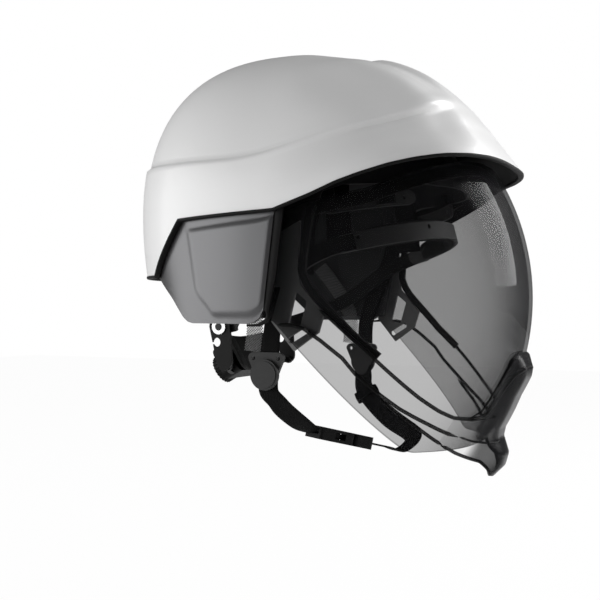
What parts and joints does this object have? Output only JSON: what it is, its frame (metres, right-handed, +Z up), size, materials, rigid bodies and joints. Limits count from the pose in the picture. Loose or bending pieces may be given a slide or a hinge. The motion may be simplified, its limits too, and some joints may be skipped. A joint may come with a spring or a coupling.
{
  "type": "safety helmet",
  "caption": "Industrial safety helmet with a smooth crested shell, grey side panels, a smoke-tinted full-face visor that lifts, and a wheel-sized harness with a chin strap.",
  "frame": {"origin": "middle of the visor's pivot axis, between the ears, which is also where the head mount is", "axes": "+Z up through the crown, -Y to the front where the visor is, -X to the wearer's right"},
  "size_m": [0.2302, 0.2887, 0.305],
  "materials": {
    "shell_white": "glossy",
    "trim_black": "matte",
    "panel_grey": "satin",
    "cap_dark": "matte",
    "visor_smoke": "clear smoke tint, glossy",
    "arm_dark": "satin",
    "steel": "satin",
    "nylon_dark": "satin",
    "wheel_pale": "satin",
    "pad_fabric": "matte foam with a textile face",
    "webbing_black": "woven",
    "webbing_grey": "woven"
  },
  "bodies": {
    "root": {"outer_shell": "shell_white", "rim_trim": "trim_black", "side_panel_right": "panel_grey", "side_panel_left": "panel_grey", "panel_seal_right": "trim_black", "panel_seal_left": "trim_black", "inner_cap": "cap_dark", "cap_spacers": "cap_dark", "pivot_pin_right": "arm_dark", "pivot_pin_left": "arm_dark", "pivot_washer_right": "steel", "pivot_washer_left": "steel", "pivot_bushes": "arm_dark", "brow_band": "nylon_dark", "brow_pad": "pad_fabric", "head_rail_right": "nylon_dark", "head_rail_left": "nylon_dark", "head_strip_right": "nylon_dark", "head_strip_left": "nylon_dark", "head_clips": "nylon_dark", "crown_strap_front": "webbing_black", "crown_strap_rear": "webbing_black", "hanger_washers": "steel", "webbing_front_right": "webbing_black", "webbing_front_left": "webbing_black", "webbing_rear_right": "webbing_grey", "webbing_rear_left": "webbing_grey", "divider_right": "arm_dark", "divider_left": "arm_dark", "divider_caps": "arm_dark", "chin_webbing_right": "webbing_black", "buckle_socket": "nylon_dark"},
    "visor": {"visor": "visor_smoke", "face_seal": "trim_black", "visor_top_band": "trim_black", "visor_arm_right": "arm_dark", "visor_arm_left": "arm_dark", "visor_beads": "visor_smoke", "chin_guard": "visor_smoke"},
    "nape": {"nape_hanger_right": "nylon_dark", "nape_hanger_left": "nylon_dark", "nape_housing": "nylon_dark", "nape_cover": "nylon_dark", "nape_pad": "pad_fabric"},
    "rack_right": {"rack_right": "nylon_dark"},
    "rack_left": {"rack_left": "nylon_dark"},
    "wheel": {"pinion": "wheel_pale", "knob": "nylon_dark"},
    "prong": {"buckle_prong": "nylon_dark", "chin_webbing_left": "webbing_black", "strap_slider": "nylon_dark"}
  },
  "joints": [
    {"name": "visor_lift", "type": "hinge", "parent": "root", "child": "visor", "pos_m": [0, 0, 0], "axis": [-1, 0, 0], "range_deg": [0, 60]},
    {"name": "nape_tilt", "type": "hinge", "parent": "root", "child": "nape", "pos_m": [0, 0.0405, -0.0208], "axis": [1, 0, 0], "range_deg": [-8, 8]},
    {"name": "knob_spin", "type": "hinge", "parent": "nape", "child": "wheel", "pos_m": [0, 0.0543, -0.04775], "axis": [0, 0.866, -0.5], "range_deg": [-100, 100]},
    {"name": "rack_right_slide", "type": "hinge", "parent": "nape", "child": "rack_right", "pos_m": [0, -0.01628, -0.007], "axis": [0, 0.5, 0.866], "range_deg": [-6.5, 6.5]},
    {"name": "rack_left_slide", "type": "hinge", "parent": "nape", "child": "rack_left", "pos_m": [0, -0.01628, -0.007], "axis": [0, 0.5, 0.866], "range_deg": [-6.5, 6.5]},
    {"name": "prong_slide", "type": "slide", "parent": "root", "child": "prong", "axis": [0.8138, -0.5285, -0.2419], "range_m": [0, 0.022]}
  ],
  "couplings": [
    {"joint": "rack_right_slide", "follows": "knob_spin", "ratio": -0.06075},
    {"joint": "rack_left_slide", "follows": "knob_spin", "ratio": 0.06196}
  ]
}
